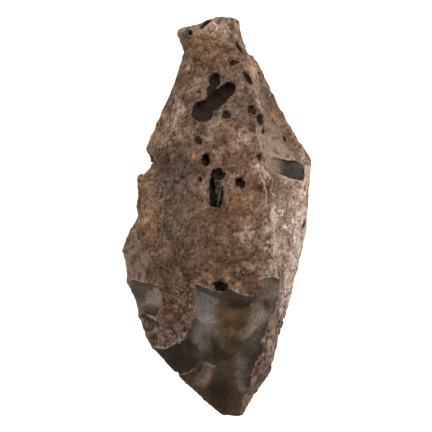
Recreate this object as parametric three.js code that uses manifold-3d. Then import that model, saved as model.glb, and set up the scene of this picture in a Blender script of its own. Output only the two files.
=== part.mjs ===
// A flaked flint hand axe. Most of the nodule's rough rind is left on as a grip, and the wide end is
// struck down to a point, so the axe is one solid: the nodule less the flakes struck off it.
// Millimetres. It lies on its flatter face: X runs across it, Y along it from the point to the grip,
// and Z up. The origin is on the resting surface, under the middle of the plan.

import * as THREE from "three";
import { mergeVertices } from "three/addons/utils/BufferGeometryUtils.js";
import Module from "manifold-3d";

// Driving sizes. The outline, heights and flakes below are shares of these.
const LENGTH = 160;
const WIDTH = 76.4;
const HEIGHT = 41;

const HALF_LENGTH = LENGTH / 2;
const HALF_WIDTH = WIDTH / 2;

// How finely the nodule's skin and the flakes' hollows are divided.
const RINGS = 46;
const RIND_STEPS = 18;
const FLANK_STEPS = 5;
const BELLY_STEPS = 10;

const wasm = await Module();
wasm.setup();

// ---------------------------------------------------------------------------------------------
// The nodule. Each profile is a list of knots [share of the half length, share of the half width
// or of the height], from the point at -1 to the grip end at 1.

const LEFT_EDGE = [
  [-1, 0.05], [-0.93, -0.125], [-0.81, -0.385], [-0.7, -0.6], [-0.57, -0.77], [-0.46, -0.885],
  [-0.35, -0.93], [-0.19, -1.01], [0.03, -0.87], [0.17, -0.84], [0.34, -0.71], [0.5, -0.61],
  [0.64, -0.485], [0.77, -0.405], [0.9, -0.395], [0.95, -0.36], [1, -0.22],
];
const RIGHT_EDGE = [
  [-1, 0.3], [-0.9, 0.435], [-0.79, 0.57], [-0.67, 0.625], [-0.58, 0.68], [-0.44, 0.775],
  [-0.29, 0.84], [-0.14, 0.92], [0, 0.975], [0.15, 1], [0.28, 1], [0.39, 0.87],
  [0.54, 0.675], [0.66, 0.55], [0.75, 0.46], [0.865, 0.285], [1, 0.23],
];
const LEFT_EDGE_HEIGHT = [[-1, 0.26], [-0.5, 0.3], [0.2, 0.34], [1, 0.45]];
const RIGHT_EDGE_HEIGHT = [[-1, 0.26], [-0.5, 0.32], [0.2, 0.35], [1, 0.45]];
const CREST = [[-1, 0.17], [-0.5, 0.1], [0, 0], [1, -0.04]];
const CREST_HEIGHT = [
  [-1, 0.33], [-0.87, 0.5], [-0.62, 0.75], [-0.37, 0.92], [-0.06, 1], [0.25, 0.985],
  [0.56, 0.88], [0.81, 0.77], [1, 0.7],
];
// The shoulder is the blunt ridge where the broad upper face turns down into the right flank.
const SHOULDER = [
  [-1, 0.24], [-0.78, 0.5], [-0.62, 0.58], [-0.44, 0.65], [-0.3, 0.66], [-0.06, 0.59],
  [0.1, 0.53], [0.3, 0.45], [0.52, 0.44], [0.69, 0.38], [0.88, 0.225], [1, 0.19],
];
const SHOULDER_HEIGHT = [
  [-1, 0.3], [-0.62, 0.6], [-0.44, 0.72], [-0.06, 0.88], [0.2, 0.89], [0.52, 0.81],
  [0.75, 0.72], [1, 0.66],
];
const KEEL_HEIGHT = [[-1, 0.2], [-0.75, 0.08], [-0.44, -0.04], [0.44, -0.05], [0.75, 0.06], [1, 0.18]];

// A smooth function through a profile's knots.
function through(knots, unit) {
  const slope = knots.map((_, i) => {
    const before = knots[Math.max(i - 1, 0)];
    const after = knots[Math.min(i + 1, knots.length - 1)];
    return (after[1] - before[1]) / (after[0] - before[0]);
  });
  return (share) => {
    let i = 0;
    while (i < knots.length - 2 && share > knots[i + 1][0]) i++;
    const span = knots[i + 1][0] - knots[i][0];
    const t = THREE.MathUtils.clamp((share - knots[i][0]) / span, 0, 1);
    const t2 = t * t;
    const t3 = t2 * t;
    const ends = (2 * t3 - 3 * t2 + 1) * knots[i][1] + (3 * t2 - 2 * t3) * knots[i + 1][1];
    const turns = (t3 - 2 * t2 + t) * slope[i] + (t3 - t2) * slope[i + 1];
    return unit * (ends + span * turns);
  };
}

const leftEdge = through(LEFT_EDGE, HALF_WIDTH);
const rightEdge = through(RIGHT_EDGE, HALF_WIDTH);
const leftEdgeHeight = through(LEFT_EDGE_HEIGHT, HEIGHT);
const rightEdgeHeight = through(RIGHT_EDGE_HEIGHT, HEIGHT);
const crest = through(CREST, HALF_WIDTH);
const crestHeight = through(CREST_HEIGHT, HEIGHT);
const shoulder = through(SHOULDER, HALF_WIDTH);
const shoulderHeight = through(SHOULDER_HEIGHT, HEIGHT);
const keelHeight = through(KEEL_HEIGHT, HEIGHT);

// The rind's slow lumps, which also keep the two faces from looking turned on a lathe.
const LUMP = 0.45;
const lump = (x, y) => LUMP * (Math.sin(x / 5.3 + y / 9.1) + Math.sin(y / 6.7 - x / 8.3 + 2));

// One section across the axe: the rind in one curve from the left edge up over the haunch and the
// crest to the shoulder, then down the bowed flank to the right edge, and back along the belly.
const HAUNCH_OUT = [[-1, 0.5], [-0.3, 0.4], [0.3, 0.5], [1, 0.3]];
const HAUNCH_UP = [[-1, 0.6], [-0.3, 0.66], [0.3, 0.76], [1, 0.72]];
const FLANK_BOW = 0.05;
const BELLY_POWER = 2.4;
const haunchOut = through(HAUNCH_OUT, 1);
const haunchUp = through(HAUNCH_UP, 1);

function section(share) {
  const y = share * HALF_LENGTH;
  const left = new THREE.Vector2(leftEdge(share), leftEdgeHeight(share));
  const top = new THREE.Vector2(crest(share), crestHeight(share));
  const ridge = new THREE.Vector2(shoulder(share), shoulderHeight(share));
  const right = new THREE.Vector2(rightEdge(share), rightEdgeHeight(share));
  const haunch = new THREE.Vector2(
    THREE.MathUtils.lerp(left.x, top.x, haunchOut(share)),
    THREE.MathUtils.lerp(left.y, top.y, haunchUp(share)),
  );
  const rind = new THREE.SplineCurve([left, haunch, top, ridge]).getPoints(RIND_STEPS);
  rind.slice(1).forEach((p) => { p.y += lump(p.x, y); });
  const down = right.clone().sub(ridge);
  const outward = new THREE.Vector2(-down.y, down.x);
  const flank = Array.from({ length: FLANK_STEPS - 1 }, (_, i) => {
    const t = (i + 1) / FLANK_STEPS;
    return rind[RIND_STEPS].clone().lerp(right, t)
      .addScaledVector(outward, FLANK_BOW * Math.sin(Math.PI * t));
  });
  const belly = Array.from({ length: BELLY_STEPS }, (_, i) => {
    const p = right.clone().lerp(left, i / BELLY_STEPS);
    return new THREE.Vector2(p.x, bellyHeight(share, i / BELLY_STEPS, p.y));
  });
  const ring = [...rind, ...flank, ...belly];
  return ring.map((p) => new THREE.Vector3(p.x, y, p.y));
}

// How high the belly is at t of the way from the right edge to the left one, under that chord.
function bellyHeight(share, t, chord) {
  const keel = keelHeight(share);
  return keel + (chord - keel) * Math.abs(2 * t - 1) ** BELLY_POWER;
}

// A closed mesh of position and faces only, as a solid that can be cut.
function solidOf(geometry) {
  geometry.deleteAttribute("normal");
  geometry.deleteAttribute("uv");
  const merged = mergeVertices(geometry, 1e-4);
  return new wasm.Manifold(
    new wasm.Mesh({
      numProp: 3,
      vertProperties: merged.attributes.position.array,
      triVerts: new Uint32Array(merged.index.array),
    }),
  );
}

function nodule() {
  const rings = [];
  for (let i = 0; i <= RINGS; i++) rings.push(section((2 * i) / RINGS - 1));
  const around = rings[0].length;
  const points = rings.flat();
  const faces = [];
  for (let i = 0; i < RINGS; i++) {
    for (let j = 0; j < around; j++) {
      const a = i * around + j;
      const b = i * around + ((j + 1) % around);
      faces.push(a, b, a + around, b, b + around, a + around);
    }
  }
  // Each end is closed by a fan about the middle of its ring.
  for (const [start, outward] of [[0, true], [RINGS * around, false]]) {
    const middle = new THREE.Vector3();
    for (let j = 0; j < around; j++) middle.addScaledVector(points[start + j], 1 / around);
    points.push(middle);
    for (let j = 0; j < around; j++) {
      const a = start + j;
      const b = start + ((j + 1) % around);
      faces.push(points.length - 1, ...(outward ? [b, a] : [a, b]));
    }
  }
  const geometry = new THREE.BufferGeometry().setFromPoints(points);
  geometry.setIndex(faces);
  return solidOf(geometry);
}

// ---------------------------------------------------------------------------------------------
// Flakes. Each one leaves a shallow hollow, cut here by an ellipsoid that stands over the surface.
// A flake's place is [share of the half width, share of the half length]. long, wide and deep are
// in millimetres, long running along the axe before turn, in degrees, swings it to the left.
// lean tips the hollow further [to the right, towards the grip], in degrees. A step under 1 makes
// the forward end blunt, as where a flake broke off short, under puts it on the lower face, and
// within keeps it to an outline.

const STAND_OFF = 0.8;

// Outlines that flakes are kept to, where they broke off in a step. The struck face runs from the
// lip in the rind down to the tip, and off the left edge.
const FACE_FLOOR = 0.2;
const STRUCK_FACE = [
  [-0.21, -0.345], [-0.1, -0.365], [-0.03, -0.38], [0.14, -0.365], [0.19, -0.385], [0.31, -0.405],
  [0.44, -0.405], [0.48, -0.37], [0.49, -0.32], [0.58, -0.305], [0.7, -0.325], [0.67, -0.38],
  [0.63, -0.43], [0.6, -0.485], [0.545, -0.535], [0.515, -0.6], [0.47, -0.64], [0.5, -0.675],
  [0.42, -0.735], [0.365, -0.8], [0.365, -0.86], [0.33, -0.89], [0.37, -0.94], [0.3, -1.1],
  [-0.1, -1.1], [-0.3, -0.96], [-0.5, -0.85], [-0.68, -0.74], [-0.7, -0.66], [-0.56, -0.675],
  [-0.49, -0.66], [-0.375, -0.64], [-0.31, -0.605], [-0.255, -0.545], [-0.215, -0.515],
];
const LEFT_SCAR = [
  [-1.1, -0.32], [-0.8, -0.35], [-0.7, -0.35], [-0.585, -0.38], [-0.585, -0.47], [-0.65, -0.505],
  [-0.78, -0.47], [-1.1, -0.42],
];
const LEFT_CHIP = [[-1.1, -0.48], [-0.8, -0.49], [-0.6, -0.545], [-0.65, -0.585], [-1, -0.62]];
const RIGHT_WINDOW = [[0.55, 0.295], [0.93, 0.265], [0.93, 0.175], [0.76, 0.18], [0.59, 0.21]];

function heightOver(x, y) {
  const curve = section(y / HALF_LENGTH).slice(0, RIND_STEPS + FLANK_STEPS + 1);
  for (let i = 0; i < curve.length - 1; i++) {
    const [a, b] = [curve[i], curve[i + 1]];
    if (x >= a.x && x <= b.x) return THREE.MathUtils.mapLinear(x, a.x, b.x, a.z, b.z);
  }
  return x < curve[0].x ? curve[0].z : curve[curve.length - 1].z;
}

function heightUnder(x, y) {
  const share = y / HALF_LENGTH;
  const t = THREE.MathUtils.clamp((rightEdge(share) - x) / (rightEdge(share) - leftEdge(share)), 0, 1);
  return bellyHeight(share, t, THREE.MathUtils.lerp(rightEdgeHeight(share), leftEdgeHeight(share), t));
}

// The outward direction of the face at a place, from the fall of the surface around it.
const REACH = 3;

function outwardFrom(height, x, y, up) {
  const acrossFall = (height(x + REACH, y) - height(x - REACH, y)) / (2 * REACH);
  const alongFall = (height(x, y + REACH) - height(x, y - REACH)) / (2 * REACH);
  return new THREE.Vector3(-acrossFall, -alongFall, 1).multiplyScalar(up).normalize();
}

function hollow({ at, long, wide, deep, turn = 0, lean = [0, 0], under = false, step = 1, within }) {
  const x = at[0] * HALF_WIDTH;
  const y = at[1] * HALF_LENGTH;
  const height = under ? heightUnder : heightOver;
  const outward = outwardFrom(height, x, y, under ? -1 : 1);
  outward.applyAxisAngle(new THREE.Vector3(0, 1, 0), THREE.MathUtils.degToRad(lean[0]));
  outward.applyAxisAngle(new THREE.Vector3(1, 0, 0), THREE.MathUtils.degToRad(-lean[1]));
  const forward = new THREE.Vector3(0, 1, 0).applyAxisAngle(
    new THREE.Vector3(0, 0, 1),
    THREE.MathUtils.degToRad(turn),
  );
  const side = forward.clone().cross(outward).normalize();
  forward.crossVectors(outward, side);
  const radius = deep / (1 - STAND_OFF);
  const spread = 2 * Math.sqrt(1 - STAND_OFF ** 2);
  const middle = new THREE.Vector3(x, y, height(x, y)).addScaledVector(outward, STAND_OFF * radius);
  const detail = Math.round(THREE.MathUtils.clamp(2 + Math.max(long, wide) / 8, 3, 8));
  const geometry = new THREE.IcosahedronGeometry(1, detail);
  const place = geometry.attributes.position;
  for (let i = 0; i < place.count; i++) {
    if (place.getY(i) > 0) place.setY(i, place.getY(i) * step);
  }
  geometry.scale(wide / spread, long / spread, radius);
  geometry.applyMatrix4(new THREE.Matrix4().makeBasis(side, forward, outward).setPosition(middle));
  const bowl = solidOf(geometry);
  return within ? bowl.intersect(column(within)) : bowl;
}

// An upright column over an outline of [share of the half width, share of the half length].
function column(outline) {
  const shape = new THREE.Shape(
    outline.map(([across, along]) => new THREE.Vector2(across * HALF_WIDTH, along * HALF_LENGTH)),
  );
  const geometry = new THREE.ExtrudeGeometry(shape, { depth: HEIGHT, bevelEnabled: false });
  return solidOf(geometry.translate(0, 0, FACE_FLOOR * HEIGHT));
}

const FACE_DEPTH = 1.3;

const FLAKES = [
  // The struck face at the point: the deep flake under the lip, the ones beside it, then those
  // that thin the tip.
  { at: [0.19, -0.5], long: 44, wide: 29, deep: 4.4, lean: [2, -4], within: STRUCK_FACE },
  { at: [-0.12, -0.43], long: 34, wide: 15, deep: 2.8, turn: 4, lean: [8, -4], within: STRUCK_FACE },
  { at: [0.52, -0.43], long: 44, wide: 13, deep: 3, turn: -24, lean: [4, -4], within: STRUCK_FACE },
  { at: [-0.2, -0.6], long: 26, wide: 20, deep: 2.3, turn: -10, lean: [-2, -4], within: STRUCK_FACE },
  { at: [0.37, -0.74], long: 40, wide: 17, deep: 3.2, turn: -10, lean: [8, 0], within: STRUCK_FACE },
  { at: [-0.36, -0.72], long: 20, wide: 30, deep: 1.9, turn: -32, lean: [-2, -4], within: STRUCK_FACE },
  { at: [0.1, -0.87], long: 38, wide: 24, deep: 3, step: 0.8, lean: [0, -2], within: STRUCK_FACE },
  { at: [-0.13, -0.8], long: 14, wide: 8, deep: 2.9, turn: -32, lean: [-4, 0], within: STRUCK_FACE },
  { at: [0.52, -0.8], long: 30, wide: 12, deep: 1.4, turn: -12, lean: [10, 0] },
  { at: [0.65, -0.75], long: 5, wide: 8, deep: 1.8, lean: [30, 0] },
  { at: [0.19, -1], long: 5, wide: 6, deep: 1.2, lean: [0, -40] },
  // The left edge, from the point up.
  { at: [-0.74, -0.42], long: 26, wide: 28, deep: 2.6, turn: 12, within: LEFT_SCAR },
  { at: [-0.72, -0.53], long: 18, wide: 20, deep: 1.8, turn: 30, within: LEFT_CHIP },
  { at: [-0.94, -0.38], long: 7, wide: 12, deep: 2, lean: [-40, 0] },
  { at: [-0.86, -0.22], long: 26, wide: 26, deep: 1.8, turn: 8 },
  { at: [-0.94, -0.11], long: 13, wide: 14, deep: 1.4, turn: 25, lean: [-20, 0] },
  { at: [-0.86, -0.02], long: 11, wide: 18, deep: 2.2, lean: [-20, 0] },
  { at: [-0.8, 0.09], long: 15, wide: 24, deep: 1.2 },
  { at: [-0.52, 0.13], long: 56, wide: 52, deep: 2, turn: -8, step: 0.6 },
  { at: [-0.7, 0.26], long: 10, wide: 16, deep: 3.2, turn: -20, lean: [-35, 0] },
  { at: [-0.58, 0.5], long: 44, wide: 16, deep: 0.8, turn: -16 },
  // The right flank, from the point up.
  { at: [0.72, -0.42], long: 60, wide: 14, deep: 1.2, turn: 8 },
  { at: [0.76, -0.1], long: 44, wide: 20, deep: 1.7, turn: 5 },
  { at: [0.74, 0.1], long: 24, wide: 24, deep: 2, turn: -8 },
  { at: [0.76, 0.235], long: 24, wide: 30, deep: 2.4, turn: 4, within: RIGHT_WINDOW },
  { at: [0.72, 0.34], long: 24, wide: 28, deep: 1.6, turn: 12 },
  { at: [0.6, 0.54], long: 50, wide: 18, deep: 1.8, turn: 27 },
  // The underside: broad flakes run in from both edges to the resting face.
  { at: [-0.66, -0.3], long: 60, wide: 50, deep: 4, turn: 10, under: true },
  { at: [-0.62, 0.16], long: 54, wide: 46, deep: 3.4, turn: -12, under: true },
  { at: [0.6, -0.42], long: 60, wide: 46, deep: 3.6, turn: 14, under: true },
  { at: [0.78, 0.1], long: 54, wide: 44, deep: 3.6, turn: -4, under: true },
  { at: [0.08, -0.84], long: 44, wide: 56, deep: 2.5, under: true },
  { at: [-0.42, -0.66], long: 34, wide: 30, deep: 1.8, turn: 34, under: true },
  { at: [0.3, 0.64], long: 60, wide: 36, deep: 2.8, turn: 20, under: true },
  { at: [-0.32, 0.66], long: 56, wide: 32, deep: 2.6, turn: -12, under: true },
  // Chips off the grip end.
  { at: [-0.12, 0.98], long: 5, wide: 12, deep: 2.4, turn: 35 },
  { at: [-0.34, 1], long: 8, wide: 10, deep: 2.6, turn: 20, lean: [-10, 20] },
];

// Natural hollows in the rind, as deep as they are shown here, from the grip down to the lip.
const PITS = [
  { at: [0.01, 0.575], long: 15, wide: 6.4, deep: 2.4, turn: -52 },
  { at: [-0.12, 0.545], long: 7, wide: 6.6, deep: 2.4 },
  { at: [-0.02, 0.675], long: 5, wide: 4.4, deep: 1.8 },
  { at: [0.45, 0.5], long: 5.5, wide: 4.5, deep: 1.8, turn: 30 },
  { at: [-0.09, 0.28], long: 6.5, wide: 4.2, deep: 2 },
  { at: [0.01, 0.13], long: 14, wide: 5.4, deep: 2.8, turn: -6 },
  { at: [0.25, 0.17], long: 6, wide: 4.4, deep: 2, turn: -25 },
  { at: [0.06, -0.355], long: 6.5, wide: 6.5, deep: 2.4 },
];

// All of the struck face lies a little under the rind, so it is first let down by that much.
const blank = nodule();
const opened = blank.subtract(column(STRUCK_FACE).subtract(blank.translate([0, 0, -FACE_DEPTH])));
const knapped = [...FLAKES, ...PITS].reduce(
  (stone, flake) => stone.subtract(hollow(flake)),
  opened,
);

// The resting face, where the belly is ground flat by a box below it.
const floorBox = new THREE.BoxGeometry(2 * WIDTH, 2 * LENGTH, HEIGHT).translate(0, 0, -HEIGHT / 2);
const rested = knapped.subtract(solidOf(floorBox));

// Centred on its own plan, since the flakes take a little off the outline.
const { min, max } = rested.boundingBox();
const axe = rested.translate([-(min[0] + max[0]) / 2, -(min[1] + max[1]) / 2, 0]);

function meshOf(name, solid, material) {
  const made = solid.getMesh();
  const geometry = new THREE.BufferGeometry();
  const points = new Float32Array(made.numVert * 3);
  for (let i = 0; i < made.numVert; i++) {
    points.set(made.vertProperties.subarray(i * made.numProp, i * made.numProp + 3), 3 * i);
  }
  geometry.setAttribute("position", new THREE.BufferAttribute(points, 3));
  geometry.setIndex(new THREE.BufferAttribute(made.triVerts, 1));
  geometry.computeVertexNormals();
  const mesh = new THREE.Mesh(geometry, material);
  mesh.name = name;
  return mesh;
}

const flint = new THREE.MeshStandardMaterial({ color: 0x77685a, roughness: 0.75, metalness: 0 });
const group = new THREE.Group();
group.add(meshOf("hand_axe", axe, flint));

export default group;
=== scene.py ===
"""A flaked flint hand axe, lying on its flatter face on a pale floor."""

import math

import bpy
import numpy as np
from mathutils import Matrix, Vector
from mathutils.noise import noise as wobble


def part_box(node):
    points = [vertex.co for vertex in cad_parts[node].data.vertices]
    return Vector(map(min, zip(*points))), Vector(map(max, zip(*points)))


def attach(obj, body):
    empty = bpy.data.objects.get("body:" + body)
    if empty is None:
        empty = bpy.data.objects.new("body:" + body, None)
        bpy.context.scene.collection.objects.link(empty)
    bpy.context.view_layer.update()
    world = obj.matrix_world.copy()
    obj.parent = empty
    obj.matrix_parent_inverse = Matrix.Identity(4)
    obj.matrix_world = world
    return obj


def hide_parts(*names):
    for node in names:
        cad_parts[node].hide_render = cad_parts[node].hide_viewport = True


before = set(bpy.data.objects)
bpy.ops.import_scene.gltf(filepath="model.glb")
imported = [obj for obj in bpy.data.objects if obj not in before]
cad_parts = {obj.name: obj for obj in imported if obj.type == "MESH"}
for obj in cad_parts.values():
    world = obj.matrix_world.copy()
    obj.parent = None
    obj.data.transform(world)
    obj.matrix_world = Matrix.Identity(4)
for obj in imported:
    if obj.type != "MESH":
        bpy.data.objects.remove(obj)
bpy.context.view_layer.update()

# ---------------------------------------------------------------------------------------------
# The blank. The axe was struck from one flint nodule, whose rough rind is left on as the grip.
# The rind is lumpy, so it is smoothed off the solid's flats and then swelled and dented.

MM = 0.001
SAME_POINT = 0.001 * MM  # points nearer than this are one
GRAIN = 0.59 * MM  # the spacing of the finished skin's points
RIND_LUMPS = [(22 * MM, 2.4 * MM), (9 * MM, 2.4 * MM), (4.2 * MM, 1.5 * MM)]  # across, high
RIND_REST = 0.4  # under a half, so that the rind stands proud of the scars cut in it
ARRIS = math.radians(26)  # how sharp an edge is kept while the rest is smoothed
FLATS_ROUNDS = 30  # rounds of smoothing on the rest
ARRIS_ROUNDS = 3  # and then on everything
ARRIS_LIFT = 0.7 * MM  # smoothing wears the edges back; this puts them out again
EDGE_WEAR = (5 * MM, 0.9 * MM)  # how the edges waver: across, far

low, high = (Vector(corner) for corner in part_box("hand_axe"))


def at(across, along, up):
    """A point of the axe, as shares of its half width, half length and height."""
    return Vector((across * high.x, along * high.y, up * high.z))


def choose(piece):
    """Makes a piece the only one selected, and the active one."""
    bpy.ops.object.select_all(action="DESELECT")
    piece.select_set(True)
    bpy.context.view_layer.objects.active = piece


def finish_with(piece, kind, **settings):
    """Adds a modifier and applies it."""
    choose(piece)
    modifier = piece.modifiers.new(kind.title(), kind)
    for name, value in settings.items():
        setattr(modifier, name, value)
    bpy.ops.object.modifier_apply(modifier=modifier.name)


def swell(piece, name, across, tall, mask="", invert=False, rest=0.5):
    """Pushes the skin out and in by a noise that is `across` wide and `tall` from hollow to top,
    and leaves it alone where the noise is at `rest`."""
    texture = bpy.data.textures.new(name, "CLOUDS")
    texture.noise_scale = across
    texture.noise_depth = 2
    finish_with(piece, "DISPLACE", texture=texture, texture_coords="LOCAL", strength=tall,
                mid_level=rest, vertex_group=mask, invert_vertex_group=invert)


def reskin(piece):
    """Knits a piece into one closed, even skin."""
    choose(piece)
    piece.data.remesh_voxel_size = GRAIN
    piece.data.use_remesh_preserve_attributes = True
    bpy.ops.object.voxel_remesh()


def copy_of(piece, name):
    """A twin of a piece, with a mesh of its own and no materials."""
    twin = piece.copy()
    twin.data = piece.data.copy()
    twin.name = twin.data.name = name
    bpy.context.collection.objects.link(twin)
    twin.data.materials.clear()
    return twin


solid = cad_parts["hand_axe"]
axe = copy_of(solid, "axe")
choose(axe)
axe.vertex_groups.new(name="arris")
bpy.ops.object.mode_set(mode="EDIT")
bpy.ops.mesh.select_mode(type="EDGE")
bpy.ops.mesh.select_all(action="SELECT")
bpy.ops.mesh.remove_doubles(threshold=SAME_POINT)
bpy.ops.mesh.select_all(action="DESELECT")
bpy.ops.mesh.edges_select_sharp(sharpness=ARRIS)
bpy.ops.object.vertex_group_assign()
bpy.ops.object.mode_set(mode="OBJECT")

reskin(axe)
finish_with(axe, "SMOOTH", factor=0.5, iterations=FLATS_ROUNDS, vertex_group="arris",
            invert_vertex_group=True)
finish_with(axe, "SMOOTH", factor=0.5, iterations=ARRIS_ROUNDS)
finish_with(axe, "DISPLACE", strength=ARRIS_LIFT, mid_level=0, vertex_group="arris")
swell(axe, "edge wear", *EDGE_WEAR)
for i, (across, tall) in enumerate(RIND_LUMPS):
    swell(axe, f"rind lumps {i}", across, tall, "arris", True, RIND_REST)

# ---------------------------------------------------------------------------------------------
# The struck face at the point. Blows from the point and the edges took the rind off here, down to
# dark flint, in shallow hollows with crisp ridges between them. The face ends in a ragged lip.

# Each blow leaves its own finish, as a material slot, and the skin section turns them into colours.
FINISHES = [
    "rind", "olive", "blue", "grey", "slate", "dark", "brown", "tan", "gloss", "window", "worn",
    "moss", "rust", "pit",
]
for finish in FINISHES:
    axe.data.materials.append(bpy.data.materials.new(finish))

STRUCK_FACE = [
    (-0.21, -0.345), (-0.1, -0.365), (-0.03, -0.38), (0.14, -0.365), (0.19, -0.385), (0.31, -0.405),
    (0.44, -0.405), (0.48, -0.37), (0.49, -0.32), (0.58, -0.305), (0.7, -0.325), (0.67, -0.38),
    (0.63, -0.43), (0.6, -0.485), (0.545, -0.535), (0.515, -0.6), (0.47, -0.64), (0.5, -0.675),
    (0.42, -0.735), (0.365, -0.8), (0.365, -0.86), (0.33, -0.89), (0.37, -0.94), (0.3, -1.1),
    (-0.1, -1.1), (-0.3, -0.96), (-0.5, -0.85), (-0.68, -0.74), (-0.7, -0.66), (-0.56, -0.675),
    (-0.49, -0.66), (-0.375, -0.64), (-0.31, -0.605), (-0.255, -0.545), (-0.215, -0.515),
]
FACE_STEP = 0.35 * MM  # how far the whole face is taken down before its hollows
OUTLINE_STEP = 1.2 * MM  # the spacing of an outline's points
RAGGED = (2.5 * MM, 0.7 * MM)  # how an outline wanders: across, far
ELSEWHERE = Vector((0, 0, 7))  # where in the noise an outline's second wander is read
BLOCK_TALL = 1.3  # how tall an upright block is, as a share of the axe's height
SCAR_WAVE = (13 * MM, 0.8 * MM)  # a struck hollow is never quite even: across, tall
DEEPER = 0.15 * MM  # the hollows go this far under the solid's own
STAND_OFF = 0.8  # how much of the ball that cuts a hollow stands over the skin
FOOT_ROUNDS = 5  # how often the search for a hollow's foot is repeated
FOOT_STRIDE = 0.6  # how much of the way to the new spot each round goes
CROSS = ((0, 0), (1, 0), (-1, 0), (0, 1), (0, -1))  # a place and its four neighbours
EDGE_SHARE = 0.3  # how high the axe's edges run, as a share of its height


def column(outline, finish):
    """An upright block over an outline, given as shares of the half width and half length."""
    corners = [at(*corner, 0) for corner in outline]
    ring = []
    for start, end in zip(corners, corners[1:] + corners[:1]):
        steps = max(1, round((end - start).length / OUTLINE_STEP))
        ring += [start.lerp(end, i / steps) for i in range(steps)]
    bpy.ops.object.select_all(action="DESELECT")
    bpy.ops.mesh.primitive_circle_add(vertices=len(ring), fill_type="NGON")
    block = bpy.context.object
    for vertex, point in zip(block.data.vertices, ring):
        pattern = point / RAGGED[0]
        wander = Vector((wobble(pattern), wobble(pattern + ELSEWHERE), 0))
        vertex.co = point + RAGGED[1] * wander
    bpy.ops.object.mode_set(mode="EDIT")
    bpy.ops.mesh.select_all(action="SELECT")
    bpy.ops.mesh.extrude_region_move(TRANSFORM_OT_translate={"value": (0, 0, BLOCK_TALL * high.z)})
    bpy.ops.mesh.select_all(action="SELECT")
    bpy.ops.mesh.normals_make_consistent(inside=False)
    bpy.ops.object.mode_set(mode="OBJECT")
    block.data.materials.append(bpy.data.materials[finish])
    return block


def carve(piece, tool, how="DIFFERENCE"):
    """Cuts the piece with the tool, whose finish the cut keeps, and puts the tool away."""
    finish_with(piece, "BOOLEAN", operation=how, solver="MANIFOLD", object=tool,
                material_mode="TRANSFER")
    bpy.data.objects.remove(tool)


def ball(centre, facing, radii, detail):
    """A ball squashed to three radii, turned to face one way, as a cutting tool."""
    bpy.ops.object.select_all(action="DESELECT")
    bpy.ops.mesh.primitive_ico_sphere_add(subdivisions=detail, radius=1)
    tool = bpy.context.object
    tool.matrix_world = Matrix.Translation(centre) @ facing.to_4x4() @ Matrix.Diagonal((*radii, 1))
    bpy.ops.object.transform_apply(location=True, rotation=True, scale=True)
    return tool


def turned(outward, turn):
    """Axes whose third points outward and whose second is the axe's own length, swung left."""
    forward = Matrix.Rotation(math.radians(turn), 3, "Z") @ Vector((0, 1, 0))
    side = forward.cross(outward).normalized()
    return Matrix((side, outward.cross(side), outward)).transposed()


def foot_of(place, deep, reach, side):
    """Finds a hollow's foot and the way it opens, which the solid shows. The foot lies `deep`
    millimetres in from the place where the middle of the blow's scar met the old skin. side is 1
    on the upper face and -1 on the lower one, and the skin is felt `reach` millimetres around."""
    struck = at(*place, 0)
    spot = struck
    for _ in range(FOOT_ROUNDS):
        found = []
        for across, along in CROSS:
            start = Vector((spot.x + across * reach * MM, spot.y + along * reach * MM, side * 2 * high.z))
            hit, where, normal, _ = solid.ray_cast(start, Vector((0, 0, -side)))
            if hit:
                found.append((where, normal))
        if not found:  # the place is off the solid's edge
            edge = Vector((spot.x, spot.y, EDGE_SHARE * high.z))
            found.append(solid.closest_point_on_mesh(edge)[1:3])
        outward = sum((normal for _, normal in found), Vector()).normalized()
        spot = spot.lerp(struck - outward * deep * MM, FOOT_STRIDE)
    return found[0][0], outward


def hollow(place, long, wide, deep, turn, blunt, finish, within=None, wave=SCAR_WAVE, under=False):
    """Cuts one of the solid's hollows again, crisply. place is its middle, as shares; long, wide and
    deep are millimetres, where it meets a flat skin; turn swings it left, in degrees; blunt under 1
    shortens its far end, as where a flake broke off short; within keeps it to an outline; under
    puts it on the lower face."""
    radius = deep / (1 - STAND_OFF) * MM
    spread = 2 * math.sqrt(1 - STAND_OFF**2)
    foot, outward = foot_of(place, deep, min(long, wide) / 10, -1 if under else 1)
    facing = turned(outward, turn)
    centre = foot + outward * (radius - DEEPER)
    radii = (wide / spread * MM, long / spread * MM, radius)
    tool = ball(centre, facing, radii, 6 if long > 16 else 5)
    for vertex in tool.data.vertices:
        ahead = (vertex.co - centre).dot(facing.col[1])
        if ahead > 0:
            vertex.co -= facing.col[1] * ahead * (1 - blunt)
    swell(tool, "scar wave", *wave)
    tool.data.materials.append(bpy.data.materials[finish])
    if within:
        carve(tool, column(within, finish), "INTERSECT")
    carve(axe, tool)


lowered = copy_of(axe, "lowered")
lowered.data.materials.append(bpy.data.materials["brown"])
lowered.data.transform(Matrix.Translation((0, 0, -FACE_STEP)))
face_block = column(STRUCK_FACE, "brown")
carve(face_block, lowered)
carve(axe, face_block)

hollow((0.19, -0.5), 44, 29, 4.4, 0, 1, "olive", STRUCK_FACE)
hollow((-0.12, -0.43), 34, 15, 2.8, 4, 1, "blue", STRUCK_FACE)
hollow((0.52, -0.43), 44, 13, 3, -24, 1, "grey", STRUCK_FACE)
hollow((-0.2, -0.6), 26, 20, 2.3, -10, 1, "grey", STRUCK_FACE)
hollow((0.37, -0.74), 40, 17, 3.2, -10, 1, "slate", STRUCK_FACE)
hollow((-0.36, -0.72), 20, 30, 1.9, -32, 1, "dark", STRUCK_FACE)
hollow((0.1, -0.87), 38, 24, 3, 0, 0.8, "brown", STRUCK_FACE)
hollow((-0.13, -0.8), 14, 8, 2.9, -32, 1, "tan", STRUCK_FACE)
hollow((0.52, -0.8), 30, 12, 1.4, -12, 1, "worn")
hollow((0.65, -0.75), 5, 8, 1.8, 0, 1, "dark")
hollow((0.19, -1), 5, 6, 1.2, 0, 1, "dark")

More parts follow.
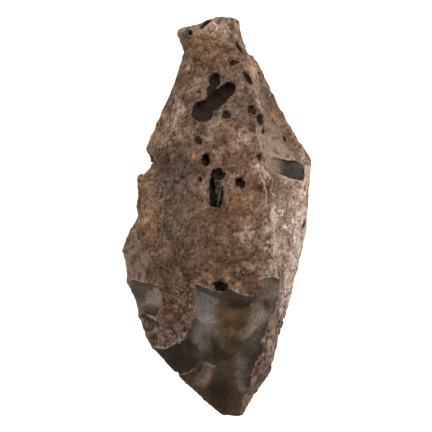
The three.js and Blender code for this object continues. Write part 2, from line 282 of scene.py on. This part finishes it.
# ---------------------------------------------------------------------------------------------
# The trimmed edges. Small flakes off both sides made them thin enough to cut with. Only the freshest
# are clean flint; the older ones have weathered like the rind.

LEFT_SCAR = [
    (-1.1, -0.31), (-0.82, -0.335), (-0.74, -0.34), (-0.62, -0.36), (-0.57, -0.4), (-0.575, -0.46),
    (-0.64, -0.505), (-0.76, -0.485), (-0.84, -0.505), (-1.1, -0.53),
]
LEFT_CHIP = [
    (-1.1, -0.44), (-0.86, -0.455), (-0.77, -0.48), (-0.68, -0.52), (-0.58, -0.545), (-0.63, -0.585),
    (-0.76, -0.57), (-1, -0.62),
]
RIGHT_WINDOW = [(0.55, 0.295), (0.93, 0.265), (0.93, 0.175), (0.76, 0.19), (0.6, 0.225)]
GRIP_END = [
    (-0.45, 1.1), (-0.45, 0.93), (-0.32, 0.95), (-0.23, 0.96), (-0.15, 0.97), (-0.06, 0.99), (0.07, 1),
    (0.2, 0.99), (0.3, 0.97), (0.3, 1.1),
]
THIN_WAVE = (13 * MM, 0.3 * MM)  # the hollows kept to an outline here are shallow, and waver less

hollow((-0.74, -0.42), 26, 28, 2.6, 12, 1, "gloss", LEFT_SCAR, THIN_WAVE)
hollow((-0.72, -0.53), 18, 20, 1.8, 30, 1, "dark", LEFT_CHIP, THIN_WAVE)
hollow((-0.94, -0.38), 7, 12, 2, 0, 1, "rust")
hollow((-0.86, -0.22), 26, 26, 1.8, 8, 1, "moss")
hollow((-0.94, -0.11), 13, 14, 1.4, 25, 1, "rust")
hollow((-0.86, -0.02), 11, 18, 2.2, 0, 1, "rind")
hollow((-0.8, 0.09), 15, 24, 1.2, 0, 1, "rind")
hollow((-0.7, 0.26), 10, 16, 3.2, -20, 1, "rust")
hollow((0.72, -0.42), 60, 14, 1.2, 8, 1, "rind")
hollow((0.76, -0.1), 44, 20, 1.7, 5, 1, "rind")
hollow((0.74, 0.1), 24, 24, 2, -8, 1, "rind")
hollow((0.76, 0.235), 24, 30, 2.4, 4, 1, "window", RIGHT_WINDOW, THIN_WAVE)
hollow((0.72, 0.34), 24, 28, 1.6, 12, 1, "worn")
hollow((0.6, 0.54), 50, 18, 1.8, 27, 1, "rind")
hollow((-0.58, 0.5), 44, 16, 0.8, -16, 1, "rind")
carve(axe, column(GRIP_END, "worn"))
hollow((-0.12, 0.98), 5, 12, 2.4, 35, 1, "worn")
hollow((-0.34, 1), 8, 10, 2.6, 20, 1, "worn")

# ---------------------------------------------------------------------------------------------
# The underside. Broad flakes were taken off it from both edges until the axe lay flat. Their scars
# are fewer and plainer than those on top.

hollow((-0.66, -0.3), 60, 50, 4, 10, 1, "slate", under=True)
hollow((-0.62, 0.16), 54, 46, 3.4, -12, 1, "worn", under=True)
hollow((0.6, -0.42), 60, 46, 3.6, 14, 1, "olive", under=True)
hollow((0.78, 0.1), 54, 44, 3.6, -4, 1, "grey", under=True)
hollow((0.08, -0.84), 44, 56, 2.5, 0, 1, "brown", under=True)
hollow((-0.42, -0.66), 34, 30, 1.8, 34, 1, "dark", under=True)
hollow((0.3, 0.64), 60, 36, 2.8, 20, 1, "worn", under=True)
hollow((-0.32, 0.66), 56, 32, 2.6, -12, 1, "rind", under=True)

# ---------------------------------------------------------------------------------------------
# The pits and cracks of the rind. Shells, sponges and crumbs of chalk fell out of the nodule and left
# dark, ragged holes, and frost opened a few cracks beside the ridge.

PIT_WAVES = ((2.8 * MM, 0.7), (1.3 * MM, 0.4))  # a rim's waves: across, and a share of the width tall
TALLEST_WAVE = 2.6  # in millimetres
PIT_REACH = 1.2  # how far round a pit's middle the skin is felt, in millimetres


def pit(across, along, wide, long, deep, turn=0, ragged=1):
    """Opens one pit: its place, as shares, its size in millimetres, how far it is swung left and
    how ragged its rim is."""
    bpy.context.view_layer.update()
    around = [Vector((*step, 0)) * PIT_REACH * MM for step in CROSS]
    found = [axe.ray_cast(at(across, along, 2) + step, Vector((0, 0, -1))) for step in around]
    outward = sum((normal for hit, _, normal, _ in found if hit), Vector()).normalized()
    tool = ball(found[0][1], turned(outward, turn), (wide / 2 * MM, long / 2 * MM, deep * MM), 5)
    for wave, share in PIT_WAVES:
        swell(tool, "pit wave", wave, ragged * min(TALLEST_WAVE, share * wide) * MM)
    tool.data.materials.append(bpy.data.materials["pit"])
    carve(axe, tool)


# The bone-shaped one on top, its knobs before its shaft, then the rest from the grip down.
pit(-0.015, 0.674, 5, 6, 1.7, 0, 0.5)
pit(-0.04, 0.622, 4.4, 6.4, 1.3, 0, 0.5)
pit(0.138, 0.637, 5.8, 6.4, 2.2, 0, 0.5)
pit(-0.137, 0.522, 9, 9.4, 3.2, 0, 0.5)
pit(0.004, 0.578, 7, 20, 3, -46, 0.5)
pit(0.02, 0.206, 5.6, 5.6, 1.5)
pit(-0.03, 0.103, 3.6, 14.5, 2.4, 4)
pit(0.05, 0.093, 2.2, 9, 1.5, -8)
pit(-0.28, 0.915, 2, 2.4, 1)
pit(-0.1, 0.966, 1.9, 8, 1.3, -57)
pit(0.19, 0.764, 2.4, 4.8, 0.8, -75)
pit(0.33, 0.693, 2, 7, 1, 27)
pit(0.46, 0.715, 1.8, 1.8, 0.8)
pit(-0.18, 0.623, 1.3, 1.3, 0.8)
pit(-0.46, 0.567, 1.5, 3.8, 0.8, -10)
pit(0.38, 0.527, 3.6, 4, 1.2, 30)
pit(0.11, 0.504, 3.8, 3.8, 1.2)
pit(0.47, 0.482, 4.4, 4.8, 1.4, 20)
pit(0.5, 0.426, 2.2, 2.2, 0.7)
pit(0.73, 0.386, 2.6, 3.4, 1)
pit(-0.19, 0.376, 3.2, 3.2, 1)
pit(-0.11, 0.28, 4.2, 6, 1.6)
pit(0.46, 0.295, 2.6, 2.8, 0.8)
pit(-0.17, 0.179, 2, 2.2, 0.7)
pit(0.25, 0.164, 4.4, 5.8, 1.6, -30)
pit(0.93, -0.04, 1.4, 3.2, 0.9)
pit(0.05, -0.352, 5.4, 4.8, 1.5, 0, 0.9)
pit(0.25, 0.842, 1.2, 7, 1, 33)
pit(0.32, 0.789, 1.2, 6, 1, 27)

# ---------------------------------------------------------------------------------------------
# The skin. Everything is knitted into one even skin that rests flat on the floor. Where the rind is
# left, the skin is pocked and gritty.

POCKS = [(2.6 * MM, 0.75 * MM), (1.3 * MM, 0.45 * MM)]  # across, tall
REST_FADE = 2.5 * MM  # the pocks fade out within this of the floor
GROUND = (0.2, 0.3, 0.02)  # a block that takes off whatever reaches below the floor

bpy.ops.object.select_all(action="DESELECT")
bpy.ops.mesh.primitive_cube_add(size=1, location=(0, 0, -GROUND[2] / 2), scale=GROUND)
ground = bpy.context.object
ground.data.materials.append(bpy.data.materials["brown"])
carve(axe, ground)
reskin(axe)

# Each face knows which blow made it. That becomes five things to know of every point: how fresh a
# scar it is in, the scar's own colour, whether it is in a pit, how near a pit it is, for a painted
# shade round it, and whether it is on the seam between two finishes.
faces = axe.data.polygons
made_by = np.empty(len(faces), int)
faces.foreach_get("material_index", made_by)
corner = np.empty(len(axe.data.loops), int)
axe.data.loops.foreach_get("vertex_index", corner)
corners_of = np.empty(len(faces), int)
faces.foreach_get("loop_total", corners_of)
face = np.repeat(np.arange(len(faces)), corners_of)
ends = np.empty(2 * len(axe.data.edges), int)
axe.data.edges.foreach_get("vertices", ends)
ends = ends.reshape(-1, 2)
points = len(axe.data.vertices)


def spread_over_points(value_of_finish, rounds):
    """A finish's value, or its colour, as a smooth one on every point."""
    value = np.array([np.atleast_1d(value_of_finish[name]) for name in FINISHES], float)[made_by][face]
    count = np.bincount(corner, minlength=points)[:, None]
    smooth = np.stack([np.bincount(corner, part, points) for part in value.T], 1) / count
    for _ in range(rounds):
        total = smooth.copy()
        count = 1 + np.bincount(ends.ravel(), minlength=points)[:, None]
        for here, there in ((0, 1), (1, 0)):
            brought = smooth[ends[:, there]]
            total += np.stack([np.bincount(ends[:, here], part, points) for part in brought.T], 1)
        smooth = total / count
    return smooth


def note(name, kind, values):
    """Writes a value for every point into the axe, where its material can read it."""
    attribute = axe.data.attributes.new(name, kind, "POINT")
    attribute.data.foreach_set("color" if kind == "FLOAT_COLOR" else "value", values.ravel())


def linear(red, green, blue):
    """A screen colour, 0 to 255, as light."""
    return tuple(((c / 255 + 0.055) / 1.055) ** 2.4 for c in (red, green, blue))


FRESH = {"rind": 0, "worn": 0.2, "moss": 0.2, "rust": 0.15, "pit": 0}  # the rest are wholly fresh
TINT = {
    "rind": linear(66, 52, 42), "olive": linear(112, 88, 62), "blue": linear(144, 133, 127),
    "grey": linear(124, 110, 97), "slate": linear(112, 98, 84), "dark": linear(70, 56, 42),
    "brown": linear(80, 60, 40), "tan": linear(164, 131, 96), "gloss": linear(140, 119, 98),
    "window": linear(86, 78, 67), "worn": linear(104, 86, 72), "moss": linear(74, 59, 40),
    "rust": linear(76, 52, 38), "pit": linear(50, 40, 32),
}
CRUMB_ROUNDS = 12  # how large a crumb of rind is lost in the scar round it
CRUMB_LOST = 0.6  # how fresh its surroundings are where a crumb begins to be lost
TINT_ROUNDS = 12  # how widely the colours of neighbouring scars blend
PIT_SHADE_ROUNDS = 8  # how far the painted shade spreads round a pit
RIDGE_ROUNDS = 4  # how far the ridges of the fresh faces are kept from the rind's border
SCAR_ROUNDING = 6  # how much those ridges are rounded
CRISP = 8  # how steeply a blurred border is drawn again
how_fresh = {name: FRESH.get(name, 1) for name in FINISHES}
is_pit = {name: name == "pit" for name in FINISHES}
around = spread_over_points(how_fresh, CRUMB_ROUNDS)
fresh_of = np.maximum(spread_over_points(how_fresh, 1), np.clip((around - CRUMB_LOST) * CRISP, 0, 1))
shares = spread_over_points(dict(zip(FINISHES, np.eye(len(FINISHES)))), 0)
note("fresh", "FLOAT", fresh_of)
note("tint", "FLOAT_COLOR", np.hstack([spread_over_points(TINT, TINT_ROUNDS), np.ones((points, 1))]))
note("pit", "FLOAT", spread_over_points(is_pit, 1))
note("dirt", "FLOAT", spread_over_points(is_pit, PIT_SHADE_ROUNDS))
note("seam", "FLOAT", 1 - shares.max(1))


def weigh(name, weights):
    """Gives the axe a vertex group with these weights, in tenths."""
    group = axe.vertex_groups.new(name=name)
    for step in range(1, 11):
        group.add(np.flatnonzero(np.round(weights * 10) == step).tolist(), step / 10, "REPLACE")


inside = spread_over_points({name: how_fresh[name] == 1 for name in FINISHES}, RIDGE_ROUNDS)[:, 0]
weigh("inside scars", np.clip(inside * CRISP - (CRISP - 1), 0, 1))
finish_with(axe, "SMOOTH", factor=0.5, iterations=SCAR_ROUNDING, vertex_group="inside scars")
place_of = np.empty(3 * points)
axe.data.vertices.foreach_get("co", place_of)
rough = (1 - np.clip(fresh_of[:, 0] * 2, 0, 1)) * np.clip(place_of[2::3] / REST_FADE, 0, 1)
weigh("rind", rough)
for i, (across, tall) in enumerate(POCKS):
    swell(axe, f"pocks {i}", across, tall, "rind")

# ---------------------------------------------------------------------------------------------
# The stone. The rind is a dull, mottled brown, stained with rust, full of specks, and given painted
# highlights on its crests, its right edge and a few white spots. The flint under it is dark, cloudy and
# glossy, with painted highlights on its ridges.

stone = bpy.data.materials.new("flint")
stone.use_nodes = True
tree = stone.node_tree
tree.nodes.clear()


def node(kind, settings=None, output=0, **sockets):
    """Adds a node, sets what it is told and gives one of its outputs."""
    made = tree.nodes.new(kind)
    for name, value in (settings or {}).items():
        if name == "stops":
            ramp = made.color_ramp
            while len(ramp.elements) < len(value):
                ramp.elements.new(0.5)
            for stop, (place, colour) in zip(ramp.elements, value):
                stop.position = place
                stop.color = (*colour, 1)
        else:
            setattr(made, name, value)
    for name, value in sockets.items():
        socket = made.inputs[int(name[1:])] if name[0] == "_" else made.inputs[name.replace("_", " ")]
        if isinstance(value, Wire):
            tree.links.new(value.socket, socket)
        else:
            if socket.type == "RGBA":
                value = (*value, 1) if len(value) == 3 else value
            socket.default_value = value
    return Wire(made.outputs[output]) if made.outputs else None


class Wire:
    """A node's output, so that sums on it read as sums and add their Math nodes."""

    def __init__(self, socket):
        self.socket = socket

    def maths(self, operation, *others):
        sockets = {f"_{i}": value for i, value in enumerate((self, *others))}
        return node("ShaderNodeMath", {"operation": operation}, **sockets)

    def __add__(self, other):
        return self.maths("ADD", other)

    def __mul__(self, other):
        return self.maths("MULTIPLY", other)

    def __sub__(self, other):
        return self.maths("SUBTRACT", other)

    def __rsub__(self, other):
        return node("ShaderNodeMath", {"operation": "SUBTRACT"}, _0=other, _1=self)

    def __or__(self, other):
        return self.maths("MAXIMUM", other)

    __radd__ = __add__


def between(value, start, end):
    """0 at start, 1 at end, and smooth."""
    return node("ShaderNodeMapRange", {"interpolation_type": "SMOOTHSTEP"},
                Value=value, From_Min=start, From_Max=end)


def mixed(first, second, share):
    """The first colour, with a share of the second."""
    return node("ShaderNodeMix", {"data_type": "RGBA"}, output=2, _0=share, _6=first, _7=second)


def scaled(colour, factor):
    """A colour made lighter or darker."""
    return node("ShaderNodeVectorMath", {"operation": "SCALE"}, _0=colour, _3=factor)


def noted(name, output="Fac"):
    """What was noted on the points of the axe."""
    return node("ShaderNodeAttribute", {"attribute_name": name}, output=output)


place = node("ShaderNodeTexCoord", output="Object")


def noise(across, detail=4, rough=0.55, bend=0.0, where=None, output=0):
    """Noise whose blotches are about `across` millimetres wide."""
    return node("ShaderNodeTexNoise", output=output, Vector=where or place, Scale=1 / (across * MM),
                Detail=detail, Roughness=rough, Distortion=bend)


# Stains are laid on one by one, but their outlines wander.
WANDER = 5 * MM
drift = node("ShaderNodeVectorMath", {"operation": "SUBTRACT"},
             _0=noise(9, 3, output="Color"), _1=(0.5, 0.5, 0.5))
wandering = node("ShaderNodeVectorMath", {"operation": "MULTIPLY_ADD"},
                 _0=drift, _1=(2 * WANDER, 2 * WANDER, 0), _2=place)
flattened = node("ShaderNodeVectorMath", {"operation": "MULTIPLY"}, _0=wandering, _1=(1, 1, 0))
faced = node("ShaderNodeTexCoord", output="Normal")
facing_up = between(node("ShaderNodeSeparateXYZ", output="Z", Vector=faced), -0.25, 0.05)
on_top = between(node("ShaderNodeSeparateXYZ", output="Z", Vector=faced), 0.3, 0.6)
slope = node("ShaderNodeSeparateXYZ", output="Y", Vector=faced)


def dabs(*marks, soft=0.55):
    """Soft marks on the upper face: each is its place, as shares of the half width and length,
    then its width and length in millimetres, and how far it is turned left."""
    total = None
    for across, along, wide, long, *turn in marks:
        inside = node("ShaderNodeMapping", {"vector_type": "TEXTURE"}, Vector=flattened,
                      Location=(across * high.x, along * high.y, 0),
                      Rotation=(0, 0, math.radians(turn[0]) if turn else 0),
                      Scale=((1 + soft) * wide / 2 * MM, (1 + soft) * long / 2 * MM, 1))
        near = node("ShaderNodeTexGradient", {"gradient_type": "SPHERICAL"}, output=1, Vector=inside)
        mark = between(near, 0, 2 * soft / (1 + soft))
        total = mark if total is None else total | mark
    return total * facing_up


fresh = noted("fresh")
tint = noted("tint", "Color")
in_pit = noted("pit")
dirt = noted("dirt")
seam = noted("seam")
ridge = node("ShaderNodeNewGeometry", output="Pointiness")

# The rind.
blotch = noise(8, 6, 0.6, 0.5)
BROWNS = [
    (0.32, linear(84, 60, 44)), (0.46, linear(112, 84, 64)), (0.56, linear(134, 106, 85)),
    (0.7, linear(160, 133, 112)),
]
rind = node("ShaderNodeValToRGB", {"stops": BROWNS}, Fac=blotch)
grey = dabs(
    (-0.41, 0.16, 17, 26, -6), (-0.4, -0.08, 16, 15), (-0.1, -0.14, 8, 16), (0.66, 0.355, 22, 13, -10),
    (0.73, -0.02, 7, 20, 8), (0.05, 0.6, 20, 20), (0.45, 0.55, 10, 16),
)
rind = mixed(rind, linear(106, 87, 72), grey * 0.75)
earth = dabs(
    (-0.42, -0.26, 19, 12), (-0.66, -0.16, 8, 8), (-0.46, -0.4, 18, 16), (-0.6, 0.3, 6, 9, -20),
    (-0.3, -0.17, 14, 14), (0.1, -0.1, 20, 26), (0, 0.8, 12, 10), (0.2, 0.3, 14, 10),
    (-0.5, -0.58, 12, 14),
)
rind = mixed(rind, linear(92, 63, 47), earth * between(noise(3.5, 6, 0.7), 0.34, 0.62) * 0.55)
rust = dabs(
    (0.16, -0.05, 12, 13), (-0.08, -0.13, 6, 10), (0.23, -0.19, 9, 10, -30), (-0.5, -0.46, 6, 6),
    (-0.69, -0.24, 5, 5), (0.26, 0.29, 7, 8), (0.14, 0.43, 6, 5), (-0.18, 0.87, 4, 6),
    (0.2, 0.1, 6, 12, -20), (0.05, -0.28, 8, 10),
)
rind = mixed(rind, linear(124, 84, 52), rust * between(noise(3, 5, 0.7), 0.34, 0.62) * 0.7)
ochre = dabs((-0.73, 0.05, 9, 20, 4), (-0.78, 0.12, 6, 14), (-0.1, 0.88, 10, 9), (-0.55, 0.45, 9, 16, -20))
rind = mixed(rind, linear(156, 114, 72), ochre * between(noise(2, 5, 0.75), 0.44, 0.58) * 0.75)
# Pale patches of rind, and a painted highlight along the right edge.
pale_and_edge_highlight = dabs(
    (0.89, -0.06, 6, 27, 6), (0.05, 0.94, 13, 7), (-0.42, 0.5, 7, 15, -16), (0.3, 0.4, 6, 7),
    (0.3, -0.1, 8, 8), (0.6, -0.26, 6, 8), (0.85, 0.15, 7, 16, 10), (0.66, -0.1, 12, 26),
    (-0.62, -0.66, 8, 4, 40), (-0.53, -0.64, 14, 7, 35),
)
rind = mixed(rind, linear(184, 158, 138), pale_and_edge_highlight * between(noise(4, 5, 0.65), 0.32, 0.6) * 0.75)
drawn = node("ShaderNodeVectorMath", {"operation": "MULTIPLY"}, _0=place, _1=(1, 0.12, 1))
streaks = between(noise(1.6, 4, 0.6, where=drawn), 0.42, 0.58)
flank = dabs((0.62, -0.6, 8, 34, -12), (0.74, -0.38, 7, 24, -6), (0.8, -0.1, 6, 20))
rind = mixed(rind, mixed(linear(80, 60, 50), linear(172, 150, 136), streaks), flank * 0.6)
# Painted white highlights on the right flank.
white_highlight = dabs((0.74, -0.05, 3, 5, 20), (0.6, -0.14, 4, 7), (0.66, 0.02, 2, 5, -30))
rind = mixed(rind, linear(236, 218, 204), white_highlight * between(noise(1.6, 4, 0.7), 0.46, 0.56) * 0.85)
# A painted highlight along the right edge.
right_edge_highlight = dabs((0.905, -0.07, 8, 30, 5), (0.8, -0.32, 5, 26, -8), (0.94, 0.2, 4, 20), soft=0.4)
rind = mixed(rind, linear(204, 182, 166), right_edge_highlight * between(noise(5, 4, 0.6), 0.3, 0.5) * 0.75)
# Painted highlights along the crests of ridges, where the skin faces up.
crest_highlight = dabs(
    (0.477, 0.178, 1.3, 22, 11), (0.56, 0.17, 1.2, 20, 28), (0.43, 0.66, 1.4, 24, 6),
    (0.62, -0.05, 1.3, 20, 4), soft=0.5,
)
rind = mixed(rind, linear(206, 184, 166), crest_highlight * on_top * 0.4)
moss = dabs((-0.86, -0.22, 16, 22, 10), (-0.93, -0.11, 8, 10))
rind = mixed(rind, linear(82, 68, 48), moss * between(noise(4, 5, 0.65), 0.3, 0.6) * 0.7)
umber = dabs((-0.6, 0.27, 9, 11, -20))
rind = mixed(rind, linear(80, 48, 32), umber * 0.6)

# Its grain: brightness that changes from crumb to crumb, darker hollows and lighter bumps, and a painted
# shade round the pits.
fine = noise(1, 5, 0.8)
coarse = noise(2.6, 5, 0.7, 0.5)
broad = noise(6, 3, 0.5, 0.8)
mottle = (1 + (fine - 0.5) * 2.9) * (1 + (coarse - 0.5) * 1.8) * (1 + (broad - 0.5) * 1.4) * 1.15
rind = scaled(rind, mottle)
specks = between(noise(1.2, 3, 0.6), 0.55, 0.66)
rind = mixed(rind, linear(62, 44, 32), specks * 0.5)
crystals = dabs(
    (-0.32, 0.43, 8, 12), (-0.4, -0.4, 14, 14), (0.22, 0.72, 5, 4), (-0.55, 0.4, 12, 18),
    (-0.62, 0.03, 8, 20),
)
crumbs = between(noise(1.1, 2, 0.5), 0.63 - crystals * 0.07, 0.72 - crystals * 0.07)
rind = mixed(rind, linear(204, 176, 152), crumbs * 0.5)
rind = scaled(rind, 0.5 + between(ridge, 0.44, 0.54) * 0.6)
# A painted shade round the pits.
rind = scaled(rind, 1 - between(dirt, 0, 0.4) * 0.35)

# The flint.
cloud = between(noise(8, 5, 0.55, 0.6), 0.35, 0.68)
flint = mixed(tint, linear(104, 92, 80), cloud * 0.16)
flint = mixed(flint, linear(34, 27, 21), between(noise(11, 4, 0.5, 1.0), 0.5, 0.7) * 0.3)
# Lighter flint, and painted reflections on the window, the left scar and the leaf.
light_flint_and_reflection = dabs(
    (0.37, -0.54, 5, 17, -38), (-0.68, -0.42, 8, 10), (0.58, 0.25, 8, 6), (-0.14, -0.43, 3, 12),
    (-0.13, -0.81, 4, 10, -36), (0.6, -0.38, 7, 7), (0.5, -0.6, 5, 18, -12), (-0.22, -0.6, 7, 9),
)
flint = mixed(flint, linear(150, 134, 118), light_flint_and_reflection * 0.5)
# A painted highlight along the leaf's rims.
leaf_rim_highlight = dabs(
    (-0.142, -0.779, 1.1, 9, -40), (-0.3, -0.79, 1, 6, -60), (-0.06, -0.745, 2, 2), soft=0.4,
)
flint = mixed(flint, linear(196, 170, 142), leaf_rim_highlight * 0.5)
ember = dabs((0.02, -0.94, 14, 8), (-0.26, -0.84, 12, 5, 38), (0.25, -0.5, 10, 16, -20))
flint = mixed(flint, linear(104, 68, 40), ember * between(noise(4, 4, 0.6), 0.35, 0.6) * 0.5)
# Dark flint, and in the last two marks a painted shadow under the lip.
dark_flint_and_lip_shadow = dabs(
    (0.55, -0.45, 4, 5), (0.1, -0.66, 18, 10), (-0.3, -0.72, 18, 12, -40), (0.8, 0.22, 10, 9),
    (-0.79, -0.375, 8, 11), (-0.66, -0.475, 8, 5, 30), (-0.72, -0.35, 12, 3), (0.02, -0.9, 10, 12),
    (0.25, -0.425, 15, 3), (-0.06, -0.392, 10, 2.5, -25),
)
flint = mixed(flint, linear(34, 27, 21), dark_flint_and_lip_shadow * 0.6)
flint = scaled(flint, (1 + (fine - 0.5) * 2.6) * (1 + (coarse - 0.5) * 1.5))

# The two together, with dark pits, darker hollows, painted highlights on the rind's borders and the
# flint's ridges, and a painted shadow under the lip.
colour = mixed(rind, flint, between(fresh, 0.3, 0.6))
colour = mixed(colour, linear(36, 26, 18), in_pit * 0.88)
colour = scaled(colour, 1 - between(ridge, 0.49, 0.42) * 0.4)
border = between(fresh * (1 - fresh) * 4, 0.35, 0.9)
# A painted highlight on the rind's borders and the seams between finishes, kept off the walls that face
# the point.
rim_highlight = between(seam, 0.1, 0.5) * (1 - fresh) | border * between(noise(3, 3), 0.35, 0.55)
colour = mixed(colour, linear(190, 164, 142), rim_highlight * between(slope, -0.45, -0.1) * (1 - in_pit) * 0.65)
# A painted shadow on the border walls that face the point, under the lip.
lip_shadow = border * between(slope, -0.4, -0.7)
colour = mixed(colour, linear(26, 20, 15), lip_shadow * (1 - in_pit) * 0.8)
# A painted highlight along the flint's sharp ridges.
colour = mixed(colour, linear(176, 150, 126), between(ridge, 0.53, 0.6) * fresh * 0.55)

relief = (fine * 0.5 + coarse - specks * 0.3) * (1 - between(fresh, 0.2, 0.6) * 0.95)
ripple = noise(2.5, 2, 0.4) * fresh * 0.1
bump = node("ShaderNodeBump", Strength=0.8, Distance=0.6 * MM, Height=relief + ripple)
gloss = between(fresh, 0.2, 0.7)
roughness = 0.78 - gloss * 0.42 + (fine - 0.5) * 0.3
surface = node("ShaderNodeBsdfPrincipled", Base_Color=colour, Roughness=roughness, Normal=bump,
               Specular_IOR_Level=0.18)
node("ShaderNodeOutputMaterial", Surface=surface)

axe.data.materials.clear()
axe.data.materials.append(stone)
choose(axe)
bpy.ops.object.shade_smooth()
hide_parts("hand_axe")
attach(axe, "root")

# ---------------------------------------------------------------------------------------------
# The floor, the light and the camera. Floor and room are white, the strongest light comes from beyond
# the grip end, and the camera looks straight down.

bpy.ops.mesh.primitive_plane_add(size=4, location=(0, 0, low.z))
floor = bpy.context.object
floor.name = "floor"
white = bpy.data.materials.new("white floor")
white.use_nodes = True
paint = white.node_tree.nodes["Principled BSDF"].inputs
paint["Base Color"].default_value = (0.85, 0.85, 0.85, 1)
paint["Roughness"].default_value = 0.9
paint["Emission Color"].default_value = (1, 1, 1, 1)
paint["Emission Strength"].default_value = 0.85
floor.data.materials.append(white)
floor.visible_glossy = False  # it is lit too brightly to be mirrored in the flint

scene = bpy.context.scene
world = bpy.data.worlds.new("room")
scene.world = world
world.use_nodes = True
room = world.node_tree.nodes["Background"].inputs
room["Color"].default_value = (1, 1, 1, 1)
room["Strength"].default_value = 0.22


def softbox(name, azimuth, elevation, distance, size, power):
    """A square light that faces the axe from a compass direction, 0 at the grip end."""
    turn, rise = math.radians(azimuth), math.radians(elevation)
    place = Vector((math.sin(turn) * math.cos(rise), math.cos(turn) * math.cos(rise), math.sin(rise)))
    light = bpy.data.lights.new(name, "AREA")
    light.size = size
    light.energy = power
    lamp = bpy.data.objects.new(name, light)
    bpy.context.collection.objects.link(lamp)
    lamp.location = place * distance
    lamp.rotation_euler = place.to_track_quat("Z", "Y").to_euler()


softbox("grip end light", 25, 38, 0.9, 0.45, 5.6)
softbox("right light", 95, 35, 0.9, 0.5, 2.1)
softbox("left light", 275, 35, 0.9, 0.5, 2.3)

SPAN = 174.3 * MM  # what the camera takes in, at the height of the axe's edges
EDGE_HEIGHT = EDGE_SHARE * high.z
camera = bpy.data.cameras.new("camera")
camera.lens = 500
eye = bpy.data.objects.new("camera", camera)
bpy.context.collection.objects.link(eye)
eye.location = (0, 0, EDGE_HEIGHT + SPAN * camera.lens / camera.sensor_width)
scene.camera = eye
scene.view_settings.view_transform = "Standard"
